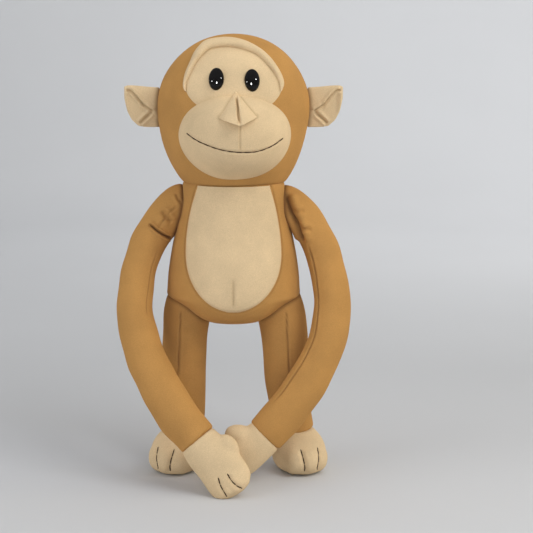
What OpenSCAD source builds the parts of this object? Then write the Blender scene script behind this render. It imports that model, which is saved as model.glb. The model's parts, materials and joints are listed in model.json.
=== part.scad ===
// A stuffed monkey: a soft sewn toy with long arms, standing on its two feet.
// +Z is up and the toy faces -Y. "left" below means -X, as it is seen from the front.
// Every cover is a thin sewn skin, and the fibre filling inside it is a solid of its own.

/* [Body] */
// Height of the neck seam above the ground
neck_z = 264; // [262:0.5:266]
// Half width of the torso at the hips
hip_rx = 60.5; // [58:0.5:62]
// Half depth of the torso at the hips
hip_ry = 50; // [46:0.5:52]
// Thickness of the sewn skin
skin = 1.2; // [0.8:0.1:1.5]
// Distance from the toy's middle plane to the frame's origin, along Y
body_y = 17.5; // [15:0.5:20]

/* [Head] */
// Half width of the head
head_rx = 67; // [64:0.5:70]
// Half depth of the head
head_ry = 60; // [56:0.5:63]
// Height of the widest part of the head
head_z = 330; // [328:0.5:332]
// Height of the crown
crown_z = 394; // [390:0.5:398]
// How far the muzzle stands out from the head
muzzle_out = 22; // [18:0.5:25]

/* [Limbs] */
// Radius of the shoulder
shoulder_r = 14.5; // [13:0.5:14.5]
// Radius of the hip end of a leg
hip_r = 20; // [18:0.5:20]
// Gap left at a seam that flexes
seam_gap = 1; // [0.8:0.1:1.5]

/* [Eyes] */
// Half width of an eye
eye_rx = 6.5; // [5.5:0.1:7]
// Half height of an eye
eye_rz = 9.5; // [8:0.1:10]
// Diameter of the stem behind an eye
stem_d = 4; // [3.5:0.1:5]
// Diameter of the lock washer on the stem
washer_d = 14; // [12:0.5:16]

/* [Hidden] */

tan_cloth = [0.69, 0.49, 0.27];
beige_cloth = [0.83, 0.70, 0.54];
fibre = [0.93, 0.93, 0.91];
dark_thread = [0.22, 0.13, 0.08];
black_gloss = [0.03, 0.03, 0.03];
clear_plastic = [0.85, 0.85, 0.82];

trunk_sides = 28;      // sides of the faceted head and torso
ease = 0.3;            // room between a skin and its filling
lie = 0.6;             // room between a curved piece and the curved skin it is sewn on
thread_r = 0.5;        // radius of the embroidery thread
front = [0, -1, 0];

// ---- smooth lofts ------------------------------------------------------------------------------

// A Catmull-Rom point between p[i] and p[i + 1]; the entries may be vectors of any length
function knot(p, i) = p[max(0, min(len(p) - 1, i))];
function between(p, i, t) =
    let (a = knot(p, i - 1), b = knot(p, i), c = knot(p, i + 1), d = knot(p, i + 2))
    0.5 * (2 * b + (c - a) * t + (2 * a - 5 * b + 4 * c - d) * t * t + (3 * b - a - 3 * c + d) * t * t * t);
function smooth(p, steps) = [
    for (i = [0 : len(p) - 2]) for (k = [0 : steps - 1]) between(p, i, k / steps),
    p[len(p) - 1]
];
function unit(v) = v / norm(v);

// A ring about c: u and v are its two half axes
function ring(c, u, v, sides) = [
    for (i = [0 : sides - 1])
    let (a = 360 * i / sides)
    c + u * cos(a) + v * sin(a)
];

// Upright rings, from stations [x, y, z, rx, ry], each made smaller all round by inset
function upright(stations, sides, inset = 0) = [
    for (s = stations) ring([s[0], s[1], s[2]], [s[3] - inset, 0, 0], [0, s[4] - inset, 0], sides)
];

// Rings across a path, from stations [x, y, z, half width, half depth]. The width lies in the XZ plane
function along(stations, sides, inset = 0) = [
    for (i = [0 : len(stations) - 1])
        let (
            s = stations[i],
            a = stations[max(0, i - 1)],
            b = stations[min(len(stations) - 1, i + 1)],
            way = unit([b[0] - a[0], b[1] - a[1], b[2] - a[2]]),
            wide = unit(cross(way, front)),
            deep = cross(wide, way)
        )
        ring([s[0], s[1], s[2]], wide * (s[3] - inset), deep * (s[4] - inset), sides)
];

function joined(rings) = [for (r = rings) for (p = r) p];
function band_faces(rows, sides) = [
    for (i = [0 : rows - 2]) for (j = [0 : sides - 1])
        let (a = i * sides + j, b = i * sides + (j + 1) % sides)
        each [[a, b, b + sides], [a, b + sides, a + sides]]
];

// Closed solid through the rings, with flat ends
module loft(rings) {
    sides = len(rings[0]);
    rows = len(rings);
    ends = [[for (j = [sides - 1 : -1 : 0]) j], [for (j = [0 : sides - 1]) (rows - 1) * sides + j]];
    polyhedron(points = joined(rings), faces = reversed_faces(concat(band_faces(rows, sides), ends)));
}

// Tube with a wall, open at both ends: the outer rings, then the inner rings back to the start
module sleeve(outer, inner) {
    sides = len(outer[0]);
    rings = concat(outer, [for (i = [len(inner) - 1 : -1 : 0]) inner[i]]);
    rows = len(rings);
    closing = [
        for (j = [0 : sides - 1])
            let (a = (rows - 1) * sides + j, b = (rows - 1) * sides + (j + 1) % sides)
            each [[a, b, (j + 1) % sides], [a, (j + 1) % sides, j]]
    ];
    polyhedron(points = joined(rings), faces = reversed_faces(concat(band_faces(rows, sides), closing)));
}

// Bag with a wall: open at its first ring and closed at its last, where the inside stops one ring short
module bag(outer, inner) {
    n = len(inner) - 2;
    loft(concat([for (i = [0 : n]) inner[n - i]], outer));
}
function backwards(list) = [for (i = [len(list) - 1 : -1 : 0]) list[i]];
function reversed_faces(faces) = [for (f = faces) backwards(f)];
// The same rings from the other end
function turned(rings) = backwards([for (r = rings) backwards(r)]);

// Puts the toy's middle plane in its place along Y
module place() {
    translate([0, body_y, 0]) children();
}

// ---- the surfaces that pieces lie on -----------------------------------------------------------

head_low = 90;         // the half height that the lower half of the head would have if it went on
crown_h = crown_z - head_z;
head_z0 = neck_z + seam_gap / 2;
function head_share(z) =
    let (t = z > head_z ? (z - head_z) / crown_h : (head_z - z) / head_low) sqrt(max(0, 1 - t * t));
function head_front(x, z, out = 0) =
    let (k = head_share(z), w = max(0.01, k * head_rx + out), q = min(1, abs(x) / w))
    -(k * head_ry + out) * sqrt(1 - q * q);

torso_z1 = neck_z - seam_gap / 2;
torso_keys = [
    [0, 0, 137.5, 24, 26], [0, 0, 143, 33, 36], [0, 0, 149, 43, 44], [0, 0, 156, 53, 48],
    [0, 0, 164, hip_rx - 0.8, hip_ry], [0, 0, 180, 59, hip_ry], [0, 0, 205, 55, 47.5], [0, 0, 230, 49, 43],
    [0, 0, 250, 45.5, 41], [0, 0, torso_z1, 45.5, 41]
];
torso_rings = smooth(torso_keys, 2);
function torso_at(z, k) = lookup(z, [for (s = torso_rings) [s[2], s[k]]]);
function torso_front(x, z, out = 0) =
    let (q = min(1, abs(x) / (torso_at(z, 3) + out))) -(torso_at(z, 4) + out) * sqrt(1 - q * q);

// A pad on a surface: reach(a) is its outline about the middle, y_front(x, z, s) and y_back(x, z, s) its two faces,
// where s runs from 0 in the middle to 1 at the edge
module pad(middle, reach, y_front, y_back, sides = 28, rows = 5) {
    shares = [for (i = [1 : rows]) sin(90 * i / rows)];
    function spot(a, s) = middle + s * reach(a);
    function face_ring(s, y) = [
        for (j = [0 : sides - 1])
            let (p = spot(360 * j / sides, s)) [p[0], y(p[0], p[1], s), p[1]]
    ];
    start = 0.02;
    rings = concat(
        [face_ring(start, y_back)],
        [for (s = shares) face_ring(s, y_back)],
        [for (i = [rows - 1 : -1 : 0]) face_ring(shares[i], y_front)],
        [face_ring(start, y_front)]
    );
    loft(rings);
}
function arch(a, rx, up, low) = [rx * cos(a), (sin(a) > 0 ? up : low) * sin(a)];

// ---- torso -------------------------------------------------------------------------------------

module torso_cover() {
    color(tan_cloth) place()
    bag(turned(upright(torso_rings, trunk_sides)), turned(upright(torso_rings, trunk_sides, skin)));
}

module torso_filling() {
    color(fibre) place()
    loft(upright([for (i = [2 : len(torso_rings) - 1]) torso_rings[i]], trunk_sides, skin + ease));
}

tummy_mid = [0, 205];
tummy_rx = 41.8;
function tummy_edge(a) =
    let (p = arch(a, tummy_rx, 56, 48)) [p[0] * (p[1] > 0 ? 1 - 0.16 * p[1] / 56 : 1), p[1]];

module tummy_panel() {
    color(beige_cloth) place()
    pad(tummy_mid, function (a) tummy_edge(a),
        function (x, z, s) torso_front(x, z, lie + 1.4),
        function (x, z, s) torso_front(x, z, lie));
}

dart_z = [159, 184];
module tummy_dart() {
    color(dark_thread) place()
    for (step = [0 : 3])
        let (z = dart_z[0] + 2 + step * 5)
        translate([0, torso_front(0, z, lie + 1.4 + thread_r + 0.4), z])
            cylinder(r = thread_r, h = 4, $fn = 16);
}

// ---- head --------------------------------------------------------------------------------------

head_levels = [head_z0, 272, 284, 300, 316, 330, 344, 356, 367, 376, 384, 389.5, 392.8];
head_rings = [for (z = head_levels) [0, 0, z, head_share(z) * head_rx, head_share(z) * head_ry]];

// The head's rings with the crown lowered by drop and the neck seam left where it is
function lowered(drop) = [
    for (s = head_rings) [s[0], s[1], s[2] - drop * (s[2] - head_z0) / (crown_z - head_z0), s[3], s[4]]
];

eye_spots = [[-14.4, 356.5], [15.6, 355.8]];
panel_t = 1.2;
module eye_bores(grow) {
    for (e = eye_spots)
        translate([e[0], head_front(e[0], e[1]) - 12, e[1]]) rotate([-90, 0, 0])
        cylinder(d = stem_d + grow, h = 30, $fn = 24);
}

module head_cover() {
    color(tan_cloth) place()
    difference() {
        loft(upright(head_rings, trunk_sides));
        translate([0, 0, -0.01]) loft(upright(lowered(skin), trunk_sides, skin));
        eye_bores(0.2);
    }
}

stem_l = 16;
washer_y = 11;         // how far a lock washer sits behind the face
module head_filling() {
    color(fibre) place()
    difference() {
        loft(upright(lowered(skin + 3 * ease), trunk_sides, skin + 2 * ease));
        for (e = eye_spots)
            translate([e[0], head_front(e[0], e[1]) - 1, e[1]]) rotate([-90, 0, 0])
            cylinder(d = washer_d + 1, h = washer_y + 9, $fn = 32);
    }
}

face_mid = [0, 352];
module face_panel() {
    color(beige_cloth) place()
    difference() {
        pad(face_mid, function (a) arch(a, 36.5, 27.5, 12),
            function (x, z, s) head_front(x, z, lie + panel_t),
            function (x, z, s) head_front(x, z, lie));
        eye_bores(0.2);
    }
}

roll_r = 4;
module brow_roll() {
    path = [
        for (a = [-4 : 11.75 : 184])
            let (p = [face_mid[0] + 42 * cos(a), face_mid[1] + 33.5 * sin(a)])
            [p[0], head_front(p[0], p[1], lie + panel_t + roll_r + 0.4), p[1]]
    ];
    color(beige_cloth) place()
    loft([
        for (i = [0 : len(path) - 1])
            let (
                way = unit(path[min(len(path) - 1, i + 1)] - path[max(0, i - 1)]),
                side = unit(cross(way, front)),
                r = i == 0 || i == len(path) - 1 ? roll_r / 2 : roll_r
            )
            ring(path[i], side * r, cross(side, way) * r, 10)
    ]);
}

muzzle_mid = [0.5, 309];
muzzle_rx = 46;
function muzzle_edge(a) = arch(a, muzzle_rx, 32, 34);
function dome(s) = sqrt(max(0, 1 - s * s));
function muzzle_front(x, z, out = 0) =
    let (p = [x, z] - muzzle_mid, s = min(1, norm([p[0] / muzzle_rx, p[1] / (p[1] > 0 ? 32 : 34)])))
    head_front(x, z, lie + 2.5 + out) - muzzle_out * dome(s);

module muzzle_cover() {
    color(beige_cloth) place()
    pad(muzzle_mid, function (a) muzzle_edge(a),
        function (x, z, s) muzzle_front(x, z),
        function (x, z, s) muzzle_front(x, z, -skin));
}

module muzzle_filling() {
    color(fibre) place()
    pad(muzzle_mid, function (a) muzzle_edge(a) * 0.9,
        function (x, z, s) muzzle_front(x, z, -skin - 0.6),
        function (x, z, s) head_front(x, z, lie));
}

nose_mid = [3.5, 333];
nose_out = 9;
module nose() {
    color(beige_cloth) place()
    pad(nose_mid, function (a) nose_reach(a),
        function (x, z, s) muzzle_front(x, z, lie + 1) - nose_out * dome(s),
        function (x, z, s) muzzle_front(x, z, lie), rows = 4);
}
// A rounded triangle with its apex up, as a three-fold wave on a circle
function nose_reach(a) = (11.6 + 2.4 * cos(3 * (a - 90))) * [cos(a) * 1.12, sin(a) * 0.95];

mouth_x = [-43, 42];
mouth_low = 288;
function mouth_z(x) = mouth_low + 17 * pow(abs(x - 2) / 44, 2.2);
module mouth_thread() {
    steps = 12;
    path = [
        for (i = [0 : steps])
            let (x = mouth_x[0] + (mouth_x[1] - mouth_x[0]) * i / steps, z = mouth_z(x))
            [x, muzzle_front(x, z, thread_r + 0.5), z]
    ];
    color(dark_thread) place()
    loft(thread_rings(path));
}
function thread_rings(path) = [
    for (i = [0 : len(path) - 1])
        let (
            way = unit(path[min(len(path) - 1, i + 1)] - path[max(0, i - 1)]),
            side = unit(cross(way, [0.1, -1, 0.05]))
        )
        ring(path[i], side * thread_r, cross(side, way) * thread_r, 6)
];

eye_stand = 3.4;       // how far the back of an eye clears the middle of its seat
eye_bulge = 3.4;
module eye(i) {
    e = eye_spots[i];
    y = head_front(e[0], e[1], lie + panel_t);
    color(black_gloss) place()
    union() {
        pad(e, function (a) [eye_rx * cos(a), eye_rz * sin(a)],
            function (x, z, s) y - eye_stand - 0.6 - eye_bulge * dome(s),
            function (x, z, s) y - eye_stand, sides = 24, rows = 4);
        translate([e[0], y - eye_stand - 1, e[1]])
            rotate([-90, 0, 0]) cylinder(d = stem_d, h = stem_l, $fn = 24);
    }
}
module eye_left() { eye(0); }
module eye_right() { eye(1); }

module eye_washer(i) {
    e = eye_spots[i];
    color(clear_plastic) place()
    translate([e[0], head_front(e[0], e[1]) + washer_y - 3, e[1]]) rotate([-90, 0, 0])
    rotate_extrude($fn = 48)
    polygon([
        [stem_d / 2 + 0.05, 0], [washer_d / 2, 0], [washer_d / 2, 1.2], [4, 2.4], [stem_d / 2 + 0.05, 2.4]
    ]);
}
module eye_washer_left() { eye_washer(0); }
module eye_washer_right() { eye_washer(1); }

// An ear is a flat pocket that stands out sideways. Its root is thin, where it folds on its seam
module ear(side) {
    keys = [
        [71, 0, 329, 11, 2], [75, 0, 329, 14.5, 4.5], [82, 0, 329, 17, 5.5], [89, 0, 330, 17, 4.5],
        [94.5, 0, 331, 13, 2]
    ];
    rows = [for (s = smooth(keys, 2)) [side * s[0], s[1], s[2], s[3], s[4]]];
    color(beige_cloth) place()
    loft([for (s = rows) ring([s[0], s[1], s[2]], [0, 0, s[3] * side], [0, s[4], 0], 20)]);
}
module ear_left() { ear(-1); }
module ear_right() { ear(1); }

// ---- arms --------------------------------------------------------------------------------------

// Stations [x, y, z, half width, half depth] from the shoulder to the wrist, on the -X side and on the +X side
arm_left_keys = [
    [-62, 0, 240, shoulder_r, shoulder_r], [-71.5, -3, 224, 14.8, 14.5], [-80, -10, 202, 15.2, 14.5],
    [-85.5, -18, 180, 15.2, 14.5], [-87.2, -28, 155, 15.8, 14.5], [-81, -41, 126, 17, 14.5],
    [-67.5, -54, 96, 18, 14.5], [-49, -65, 66, 18.2, 14], [-31, -73, 46, 17.8, 13]
];
arm_right_keys = [
    [62, 0, 240, shoulder_r, shoulder_r], [71.5, -3, 224, 14.8, 14.5], [80.5, -10, 202, 15.2, 14.5],
    [86.5, -17, 178, 15.5, 14.5], [88, -25, 154, 16, 14.5], [82, -34, 124, 17, 14.5],
    [68, -41, 96, 17.8, 14], [48, -46.8, 66, 17.8, 12.5], [27.5, -49.8, 43.5, 17.4, 11.5]
];
arm_sides = 18;
dome_angles = [87, 70, 45, 20];    // the rings of a limb's domed end, in degrees above its first station

// Smooth rings down a limb, with a domed top that is round about its first station
function limb(keys, inset = 0, steps = 2) =
    let (
        way = unit([keys[1][0] - keys[0][0], keys[1][1] - keys[0][1], keys[1][2] - keys[0][2]]),
        wide = unit(cross(way, front)),
        deep = cross(wide, way),
        c = [keys[0][0], keys[0][1], keys[0][2]],
        w = keys[0][3] - inset,
        d = keys[0][4] - inset
    )
    concat(
        [
            for (a = dome_angles)
            ring(c - way * w * sin(a), wide * w * cos(a), deep * d * cos(a), arm_sides)
        ],
        along(smooth(keys, steps), arm_sides, inset)
    );

module arm_cover(keys) {
    color(tan_cloth) place()
    sleeve(limb(keys), limb(keys, skin));
}
module arm_filling(keys) {
    color(fibre) place()
    loft(limb(keys, skin + ease));
}
module arm_left_cover() { arm_cover(arm_left_keys); }
module arm_left_filling() { arm_filling(arm_left_keys); }
module arm_right_cover() { arm_cover(arm_right_keys); }
module arm_right_filling() { arm_filling(arm_right_keys); }

hand_sides = 16;
hand_left_keys = [
    [-30.6, -73.2, 45.5, 17.6, 12.8], [-23, -75.8, 37, 19.6, 13], [-14, -79, 26.5, 19.8, 12.6],
    [-7, -82.5, 16.5, 19.6, 11.4], [-3.2, -85.2, 10.8, 17, 9], [-1, -87, 7, 11, 6], [-0.3, -87.8, 5, 4.5, 3.5]
];
hand_right_keys = [
    [27, -49.9, 43, 17.2, 11.4], [17.2, -51.3, 33.2, 18, 10.8], [6, -54.2, 25.5, 18.5, 11.5],
    [-3, -55, 19, 15.5, 10], [-8, -55, 15.5, 10, 7.5], [-10, -55, 14, 4, 3.5]
];
module hand_cover(keys) {
    rows = smooth(keys, 2);
    color(beige_cloth) place()
    bag(along(rows, hand_sides), along(rows, hand_sides, skin));
}
module hand_filling(keys) {
    rows = smooth(keys, 2);
    color(fibre) place()
    let (rings = along(rows, hand_sides, skin + ease))
    loft([for (i = [0 : len(rings) - 3]) rings[i]]);
}
module hand_left_cover() { hand_cover(hand_left_keys); }
module hand_left_filling() { hand_filling(hand_left_keys); }
module hand_right_cover() { hand_cover(hand_right_keys); }
module hand_right_filling() { hand_filling(hand_right_keys); }

// Two finger stitches on the hand that lies in front
module finger_thread_left() {
    color(dark_thread) place()
    for (path = [
        [[-13.3, -94.2, 18.2], [-9.5, -95.1, 9.5], [-6.8, -93.8, 5]],
        [[-5.3, -94.6, 22], [1.5, -95.3, 14.5], [6, -92.6, 9.5]]
    ]) loft(thread_rings(path));
}

// ---- legs --------------------------------------------------------------------------------------

hip_z = 126;
ankle_left_x = -46;
ankle_right_x = 56;
toes_out_left = 27;    // degrees that the toes point outwards
toes_out_right = 22;
leg_left_keys = [
    [-44.8, 0, hip_z, 20.4, hip_r], [-44.6, 0, 95, 19.6, 19.4], [-44.6, 0, 65, 18.8, 18.2],
    [ankle_left_x, 0, 35, 17.5, 17.5]
];
leg_right_keys = [
    [44.8, 0, hip_z, 20.4, hip_r], [46.8, 0, 95, 19.6, 19.4], [50.2, 0, 65, 18.8, 18.2],
    [ankle_right_x, 0, 35, 17.5, 17.5]
];

// Level rings down a leg, with a domed top that turns about the hip's X axis
function leg(keys, inset = 0) =
    let (k = keys[0], w = k[3] - inset, d = k[4] - inset)
    concat(
        [
            for (a = dome_angles)
            ring([k[0], 0, k[2] + d * sin(a)], [w * cos(a), 0, 0], [0, -d * cos(a), 0], arm_sides)
        ],
        [
            for (s = smooth(keys, 2))
            ring([s[0], s[1], s[2]], [s[3] - inset, 0, 0], [0, inset - s[4], 0], arm_sides)
        ]
    );
module leg_cover(keys) {
    color(tan_cloth) place()
    sleeve(leg(keys), leg(keys, skin));
}
module leg_filling(keys) {
    color(fibre) place()
    loft(leg(keys, skin + ease));
}
module leg_left_cover() { leg_cover(leg_left_keys); }
module leg_left_filling() { leg_filling(leg_left_keys); }
module leg_right_cover() { leg_cover(leg_right_keys); }
module leg_right_filling() { leg_filling(leg_right_keys); }

// The two ways across a foot on the floor: to its right side, and to its toes
function foot_right_way(turn) = [cos(turn), sin(turn), 0];
function foot_front_way(turn) = [sin(turn), -cos(turn), 0];

// A foot from the ankle seam down to its flat sole, turned about the ankle so that its toes point outwards.
// Its rings are [distance in front of the ankle, height, half width, half length]
foot_keys = [
    [0, 34.9, 17.5, 17.5], [3.5, 30, 20, 22], [8.5, 22, 22.5, 27.5], [10.5, 12, 23.5, 30.5],
    [11, 4, 22.5, 29.5], [11, 0, 19, 26]
];
function foot(ankle_x, turn, inset = 0) = [
    for (s = smooth(foot_keys, 2))
    let (lift = s[1] < 1 ? inset : 0)
    ring([ankle_x, 0, s[1] + lift] + s[0] * foot_front_way(turn),
         (s[2] - inset) * foot_right_way(turn), (s[3] - inset) * foot_front_way(turn), 20)
];
module foot_cover(ankle_x, turn) {
    color(beige_cloth) place()
    let (inner = foot(ankle_x, turn, skin), n = len(inner) - 1)
    loft(concat([for (i = [0 : n]) inner[n - i]], foot(ankle_x, turn)));
}
module foot_filling(ankle_x, turn) {
    color(fibre) place()
    loft(foot(ankle_x, turn, skin + ease));
}
module foot_left_cover() { foot_cover(ankle_left_x, -toes_out_left); }
module foot_left_filling() { foot_filling(ankle_left_x, -toes_out_left); }
module foot_right_cover() { foot_cover(ankle_right_x, toes_out_right); }
module foot_right_filling() { foot_filling(ankle_right_x, toes_out_right); }

// Two toe stitches up the front of a foot, from [height, distance in front of the ankle]
foot_front_keys = [[6, 40.2], [12, 40.6], [18, 38.7], [24, 33.8]];
toe_gap = 8;
module toe_thread(ankle_x, turn) {
    color(dark_thread) place()
    for (x = [-toe_gap, toe_gap])
        loft(thread_rings([
            for (f = foot_front_keys)
            [ankle_x, 0, f[0]] + f[1] * foot_front_way(turn) + x * foot_right_way(turn)
        ]));
}
module toe_thread_left() { toe_thread(ankle_left_x, -toes_out_left); }
module toe_thread_right() { toe_thread(ankle_right_x, toes_out_right); }

torso_cover();
torso_filling();
tummy_panel();
tummy_dart();
head_cover();
head_filling();
face_panel();
brow_roll();
muzzle_cover();
muzzle_filling();
nose();
mouth_thread();
eye_left();
eye_right();
eye_washer_left();
eye_washer_right();
ear_left();
ear_right();
arm_left_cover();
arm_left_filling();
hand_left_cover();
hand_left_filling();
finger_thread_left();
arm_right_cover();
arm_right_filling();
hand_right_cover();
hand_right_filling();
leg_left_cover();
leg_left_filling();
foot_left_cover();
foot_left_filling();
toe_thread_left();
leg_right_cover();
leg_right_filling();
foot_right_cover();
foot_right_filling();
toe_thread_right();
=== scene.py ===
"""A stuffed monkey of short velour, standing with its long arms crossed in front of its shins.

Lengths are in millimetres and y is measured from the toy's own middle plane. A mesh is made in metres, where
the frame has the toy. "left" is the -X side, as in the frame.
"""

import json
import math

import bmesh
import bpy
import numpy as np
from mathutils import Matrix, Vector
from mathutils.bvhtree import BVHTree


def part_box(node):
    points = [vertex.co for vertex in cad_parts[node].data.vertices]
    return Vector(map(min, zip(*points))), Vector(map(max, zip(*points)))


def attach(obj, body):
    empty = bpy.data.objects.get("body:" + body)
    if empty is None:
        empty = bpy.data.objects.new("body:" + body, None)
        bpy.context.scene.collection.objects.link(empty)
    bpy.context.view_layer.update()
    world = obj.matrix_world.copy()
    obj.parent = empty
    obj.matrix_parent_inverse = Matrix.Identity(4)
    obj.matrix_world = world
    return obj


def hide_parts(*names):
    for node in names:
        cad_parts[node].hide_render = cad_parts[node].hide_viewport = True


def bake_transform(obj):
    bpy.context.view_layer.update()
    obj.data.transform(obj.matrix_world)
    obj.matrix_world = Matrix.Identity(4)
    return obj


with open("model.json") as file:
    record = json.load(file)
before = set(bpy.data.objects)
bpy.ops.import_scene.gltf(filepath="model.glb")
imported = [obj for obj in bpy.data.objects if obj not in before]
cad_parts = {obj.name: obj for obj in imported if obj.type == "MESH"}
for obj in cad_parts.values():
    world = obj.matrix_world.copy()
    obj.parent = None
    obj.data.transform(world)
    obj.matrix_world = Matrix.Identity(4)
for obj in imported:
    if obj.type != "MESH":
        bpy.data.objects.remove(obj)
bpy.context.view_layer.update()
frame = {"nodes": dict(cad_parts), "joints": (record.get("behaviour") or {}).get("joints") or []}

# ---- places and sizes from the frame ----

MM = 0.001
JOINT = {j["name"]: [c / MM for c in j["pos_m"]] for j in frame["joints"]}
MID_Y = JOINT["neck_turn"][1]
NECK_Z = JOINT["neck_turn"][2]


def node_box(node):
    """Lowest and highest corner of a CAD node in millimetres, with y from the toy's middle plane."""
    low, high = (np.array(c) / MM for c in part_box(node))
    return low - [0, MID_Y, 0], high - [0, MID_Y, 0]


# The head is widest at HEAD_Z. From there it is rounded over CROWN upwards and over HEAD_DROP downwards
HEAD_RX, HEAD_RY, HEAD_TOP = node_box("head_cover")[1]
HEAD_Z = NECK_Z + 66
CROWN = HEAD_TOP + 1 - HEAD_Z
HEAD_DROP = 90
# How far the cloth of the face lies off the head
FACE_LIFT = 0.6


# ---- small tools ----


def unit(v):
    v = np.asarray(v, float)
    return v / np.maximum(np.linalg.norm(v, axis=-1, keepdims=True), 1e-9)


PATH_STEPS = 24


def smooth_path(keys, count):
    """count rows along a Catmull-Rom curve through keys, evenly spaced by the keys' first three columns."""
    keys = np.asarray(keys, float)
    padded = np.vstack([2 * keys[0] - keys[1], keys, 2 * keys[-1] - keys[-2]])
    fine = []
    for i in range(1, len(padded) - 2):
        a, b, c, d = padded[i - 1 : i + 3]
        for t in np.linspace(0, 1, PATH_STEPS, endpoint=False):
            square = (2 * a - 5 * b + 4 * c - d) * t**2
            cube = (3 * b - a - 3 * c + d) * t**3
            fine.append(0.5 * (2 * b + (c - a) * t + square + cube))
    fine = np.array([*fine, keys[-1]])
    reach = np.concatenate([[0], np.cumsum(np.linalg.norm(np.diff(fine[:, :3], axis=0), axis=1))])
    at = np.linspace(0, reach[-1], count)
    return np.stack([np.interp(at, reach, fine[:, k]) for k in range(keys.shape[1])], axis=1)


def waves(points, length, seed, count=10):
    """A smooth random field of about -1 to 1 over points, with waves about length long."""
    rng = np.random.default_rng(seed)
    total = np.zeros(len(points))
    for _ in range(count):
        way = unit(rng.normal(size=3)) * rng.uniform(0.6, 1.5) * 2 * math.pi / length
        total += np.sin(points @ way + rng.uniform(0, 2 * math.pi))
    return total / math.sqrt(count)


def step(x, low, high):
    """Rises smoothly from 0 at low to 1 at high."""
    t = np.clip((x - low) / (high - low), 0, 1)
    return t * t * (3 - 2 * t)


def to_metres(points):
    return (np.asarray(points, float) + [0, MID_Y, 0]) * MM


def new_object(name, points, faces):
    mesh = bpy.data.meshes.new(name)
    mesh.from_pydata([tuple(p) for p in to_metres(points)], [], [tuple(f) for f in faces])
    mesh.validate()
    mesh.shade_smooth()
    obj = bpy.data.objects.new(name, mesh)
    bpy.context.scene.collection.objects.link(obj)
    return obj


def points_of(obj):
    co = np.zeros(len(obj.data.vertices) * 3)
    obj.data.vertices.foreach_get("co", co)
    return co.reshape(-1, 3) / MM - [0, MID_Y, 0]


def set_points(obj, points):
    obj.data.vertices.foreach_set("co", to_metres(points).ravel())
    obj.data.update()


def normals_of(obj):
    obj.data.update()
    n = np.zeros(len(obj.data.vertices) * 3)
    obj.data.vertex_normals.foreach_get("vector", n)
    return n.reshape(-1, 3)


def outward(obj):
    """Turns the faces of a closed mesh to look outwards."""
    bm = bmesh.new()
    bm.from_mesh(obj.data)
    bmesh.ops.recalc_face_normals(bm, faces=bm.faces)
    bm.to_mesh(obj.data)
    bm.free()
    obj.data.shade_smooth()


def facing_front(obj):
    """Turns the faces of an open patch of cloth to look forwards."""
    if sum(p.normal.y * p.area for p in obj.data.polygons) > 0:
        obj.data.flip_normals()
    return obj


def loft(name, rings):
    """A closed mesh through rings of equal length, with a middle point at each end."""
    rings = np.asarray(rings, float)
    rows, sides = rings.shape[:2]
    points = list(rings.reshape(-1, 3))
    faces = []
    for i in range(rows - 1):
        for j in range(sides):
            a, b = i * sides + j, i * sides + (j + 1) % sides
            faces.append((a, b, b + sides, a + sides))
    for row in (0, rows - 1):
        points.append(rings[row].mean(0))
        hub = len(points) - 1
        for j in range(sides):
            faces.append((row * sides + j, row * sides + (j + 1) % sides, hub))
    obj = new_object(name, points, faces)
    outward(obj)
    return obj


def grid_faces(rows, columns):
    """The faces of an open grid of points, given row by row."""
    faces = []
    for r in range(rows - 1):
        for c in range(columns - 1):
            a = r * columns + c
            faces.append((a, a + 1, a + 1 + columns, a + columns))
    return faces


def level_rings(stations, sides):
    """Level rings from stations [x, y, z, half width, half depth]."""
    a = np.linspace(0, 2 * math.pi, sides, endpoint=False)
    c, s = np.cos(a), np.sin(a)
    return [np.stack([x + rx * c, y + ry * s, np.full(sides, z)], axis=1) for x, y, z, rx, ry in stations]


def path_rings(stations, sides):
    """Rings across a path of stations [x, y, z, half width, half depth]. The width lies in the XZ plane."""
    stations = np.asarray(stations, float)
    way = unit(np.gradient(stations[:, :3], axis=0))
    wide = unit(np.cross(way, [0, -1, 0]))
    deep = np.cross(wide, way)
    a = np.linspace(0, 2 * math.pi, sides, endpoint=False)[:, None]
    return [
        p[:3] + w * p[3] * np.cos(a) + d * p[4] * np.sin(a) for p, w, d in zip(stations, wide, deep)
    ]


def subdivide(obj, levels):
    modifier = obj.modifiers.new("subdivide", "SUBSURF")
    modifier.levels = modifier.render_levels = levels
    apply_all(obj)


def remesh(obj, size):
    modifier = obj.modifiers.new("remesh", "REMESH")
    modifier.mode = "VOXEL"
    modifier.voxel_size = size * MM
    apply_all(obj)


def relax(obj, rounds):
    modifier = obj.modifiers.new("relax", "SMOOTH")
    modifier.iterations = rounds
    modifier.factor = 0.5
    apply_all(obj)


def apply_all(obj):
    """Replaces a mesh with what its modifiers make of it."""
    seen = obj.evaluated_get(bpy.context.evaluated_depsgraph_get())
    mesh = bpy.data.meshes.new_from_object(seen)
    obj.modifiers.clear()
    obj.data = mesh
    obj.data.shade_smooth()


def join(name, objects):
    """One mesh out of several objects, which are removed."""
    bm = bmesh.new()
    for o in objects:
        bm.from_mesh(o.data)
    mesh = bpy.data.meshes.new(name)
    bm.to_mesh(mesh)
    bm.free()
    for o in objects:
        bpy.data.objects.remove(o)
    obj = bpy.data.objects.new(name, mesh)
    bpy.context.scene.collection.objects.link(obj)
    mesh.shade_smooth()
    return obj


# How finely a crease's line is divided, and how often the line and its normals are smoothed
LINE_POINTS = 64
LINE_ROUNDS = 8
NORMAL_ROUNDS = 12


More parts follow.
